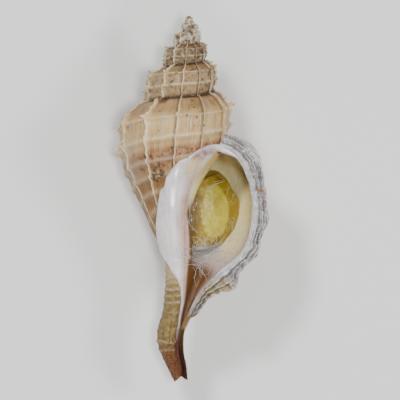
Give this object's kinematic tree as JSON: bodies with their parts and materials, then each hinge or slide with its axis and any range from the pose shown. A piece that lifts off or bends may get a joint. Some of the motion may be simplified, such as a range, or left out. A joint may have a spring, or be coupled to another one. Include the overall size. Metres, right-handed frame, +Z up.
{
  "type": "trophon sea shell",
  "caption": "Spindle-shaped sea shell lying on its back: stepped whorls with thin blades, a flared outer lip, a long open canal, and its operculum set in the mouth on cotton wool.",
  "frame": {"origin": "centre of the bounding box's bottom face, on the surface that the shell lies on", "axes": "+Y towards the shell's apex, along its length; +Z up, the way the aperture faces; +X towards the outer lip"},
  "size_m": [0.0162, 0.0398, 0.0143],
  "materials": {
    "shell": "chalky tan outside with cream blades and cords, smooth porcelain white inner lip, translucent grey-white outer lip",
    "operculum": "thin translucent amber horn with growth lines",
    "cotton_wool": "loose white cotton fibres"
  },
  "bodies": {
    "root": {"shell": "shell", "operculum": "operculum", "cotton_wool": "cotton_wool"}
  },
  "joints": []
}
